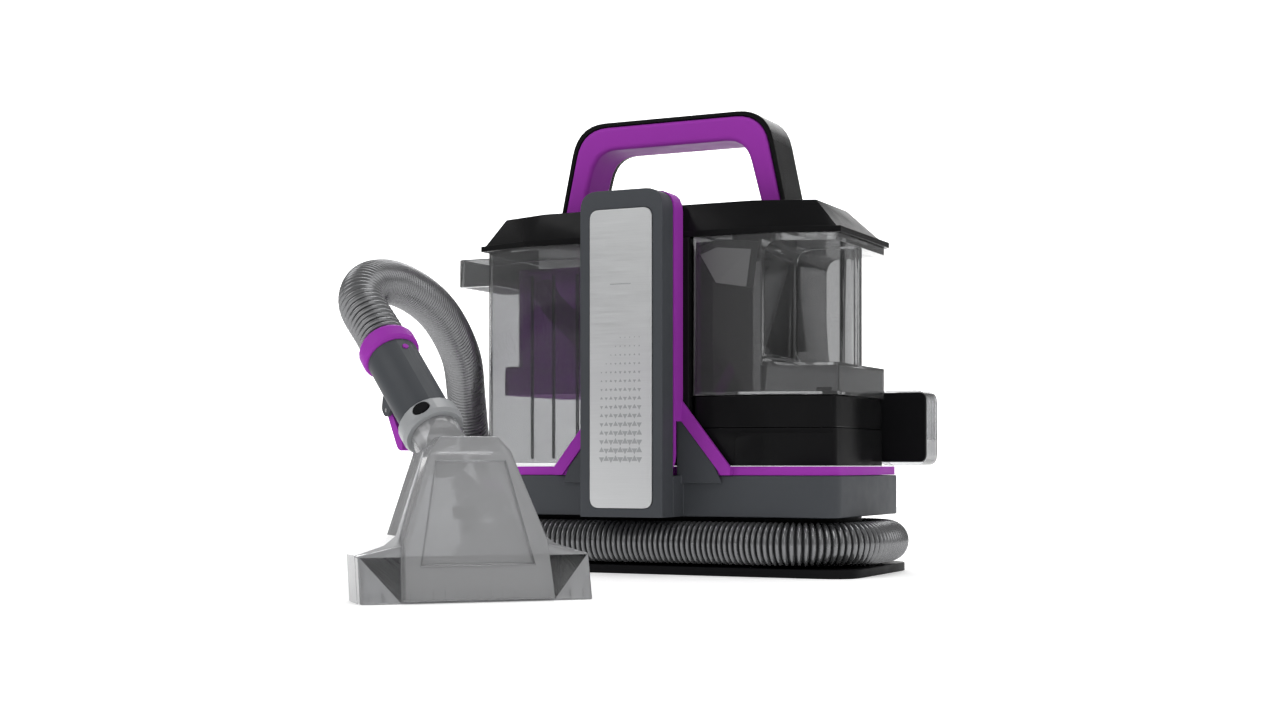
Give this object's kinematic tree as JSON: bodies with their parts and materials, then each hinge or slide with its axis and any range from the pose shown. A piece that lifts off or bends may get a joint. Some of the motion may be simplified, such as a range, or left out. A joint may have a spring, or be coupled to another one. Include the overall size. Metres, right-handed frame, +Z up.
{
  "type": "portable carpet spot cleaner",
  "caption": "Portable carpet and upholstery spot cleaner: carry handle, clear tanks that slide out at each side, a hose wrapped round its base, and a hand tool.",
  "frame": {"origin": "on the floor, under the middle of the machine's base plate", "axes": "+Z up; the front, with the label, faces -Y; +X is the clean-water tank side"},
  "size_m": [0.4315, 0.5594, 0.376],
  "materials": {
    "slate": "fine moulded texture",
    "purple": "satin",
    "gloss_black": "gloss",
    "matt_black": "moulded texture",
    "silver_label": "brushed",
    "smoke_clear": "polished",
    "clear": "polished",
    "violet_clear": "polished",
    "hose_grey": "satin",
    "nozzle_grey": "polished",
    "light_grey": "satin",
    "rubber": "matt",
    "metal": "satin",
    "board": "solder mask",
    "tubing": "soft"
  },
  "bodies": {
    "machine": {"base_housing": "slate", "base_plate": "matt_black", "column_shell": "slate", "control_board": "board", "cord_inlet": "rubber", "core_housing": "gloss_black", "dock_lower": "gloss_black", "dock_upper": "gloss_black", "fan_housing": "matt_black", "foot_front_left": "rubber", "foot_front_right": "rubber", "foot_rear_left": "rubber", "foot_rear_right": "rubber", "handle_grip": "purple", "handle_shell": "gloss_black", "holster": "clear", "holster_plate": "matt_black", "hose_free": "hose_grey", "hose_socket": "matt_black", "hose_wrap": "hose_grey", "label_plate": "silver_label", "motor_mount": "rubber", "pedestal": "matt_black", "rear_cover": "matt_black", "rear_screw_low_left": "metal", "rear_screw_low_right": "metal", "rear_screw_top_left": "metal", "rear_screw_top_right": "metal", "roof_cover": "gloss_black", "suction_motor": "metal", "suction_tube": "tubing", "trim_frame": "purple", "water_pump": "matt_black", "water_tube": "tubing"},
    "clean_tank": {"clean_tank": "smoke_clear"},
    "filler_cap": {"filler_cap": "matt_black"},
    "clean_valve": {"clean_valve": "matt_black"},
    "dirty_tank": {"dirty_tank": "clear", "dirty_tank_lid": "smoke_clear", "dirty_tank_pull": "smoke_clear", "separator": "violet_clear", "separator_duct": "purple", "float_guide": "clear"},
    "float": {"float": "purple"},
    "fan": {"fan_impeller": "matt_black"},
    "power_button": {"power_button": "purple"},
    "hand_tool": {"nozzle_body": "nozzle_grey", "nozzle_cover": "nozzle_grey", "spray_tip": "matt_black", "neck_ring": "light_grey", "wand_shell": "slate", "wand_cap": "purple", "trigger_pin": "metal", "hose_collar": "purple"},
    "trigger": {"trigger": "purple"},
    "release_button": {"release_button": "matt_black"}
  },
  "joints": [
    {"name": "clean_tank_slide", "type": "slide", "parent": "machine", "child": "clean_tank", "axis": [1, 0, 0], "range_m": [0, 0.13]},
    {"name": "filler_cap_turn", "type": "hinge", "parent": "clean_tank", "child": "filler_cap", "pos_m": [0.074, 0, 0.268], "axis": [0, 0, 1], "range_deg": [0, 90]},
    {"name": "clean_valve_lift", "type": "slide", "parent": "clean_tank", "child": "clean_valve", "axis": [0, 0, 1], "range_m": [0, 0.004], "stiffness_N_per_m": 200, "springref_m": -0.002},
    {"name": "dirty_tank_slide", "type": "slide", "parent": "machine", "child": "dirty_tank", "axis": [-1, 0, 0], "range_m": [0, 0.006]},
    {"name": "float_rise", "type": "slide", "parent": "dirty_tank", "child": "float", "axis": [0, 0, 1], "range_m": [0, 0.034]},
    {"name": "fan_spin", "type": "hinge", "parent": "machine", "child": "fan", "pos_m": [0, 0.005, 0.225], "axis": [0, 0, 1], "continuous": true},
    {"name": "power_button_press", "type": "slide", "parent": "machine", "child": "power_button", "axis": [0, 0, -1], "range_m": [0, 0.0025], "stiffness_N_per_m": 600, "springref_m": -0.001},
    {"name": "tool_lift", "type": "slide", "parent": "machine", "child": "hand_tool", "axis": [0, 0, 1], "range_m": [0, 0.06], "deforming": ["hose_free"]},
    {"name": "trigger_pull", "type": "hinge", "parent": "hand_tool", "child": "trigger", "pos_m": [-0.06073, -0.33692, 0.12472], "axis": [-0.4559, -0.89, 0], "range_deg": [0, 8], "stiffness_Nm_per_rad": 0.5, "springref_deg": -5.73},
    {"name": "release_button_press", "type": "slide", "parent": "hand_tool", "child": "release_button", "axis": [-0.1479, 0.8244, -0.5464], "range_m": [0, 0.0012], "stiffness_N_per_m": 600, "springref_m": -0.0005}
  ]
}
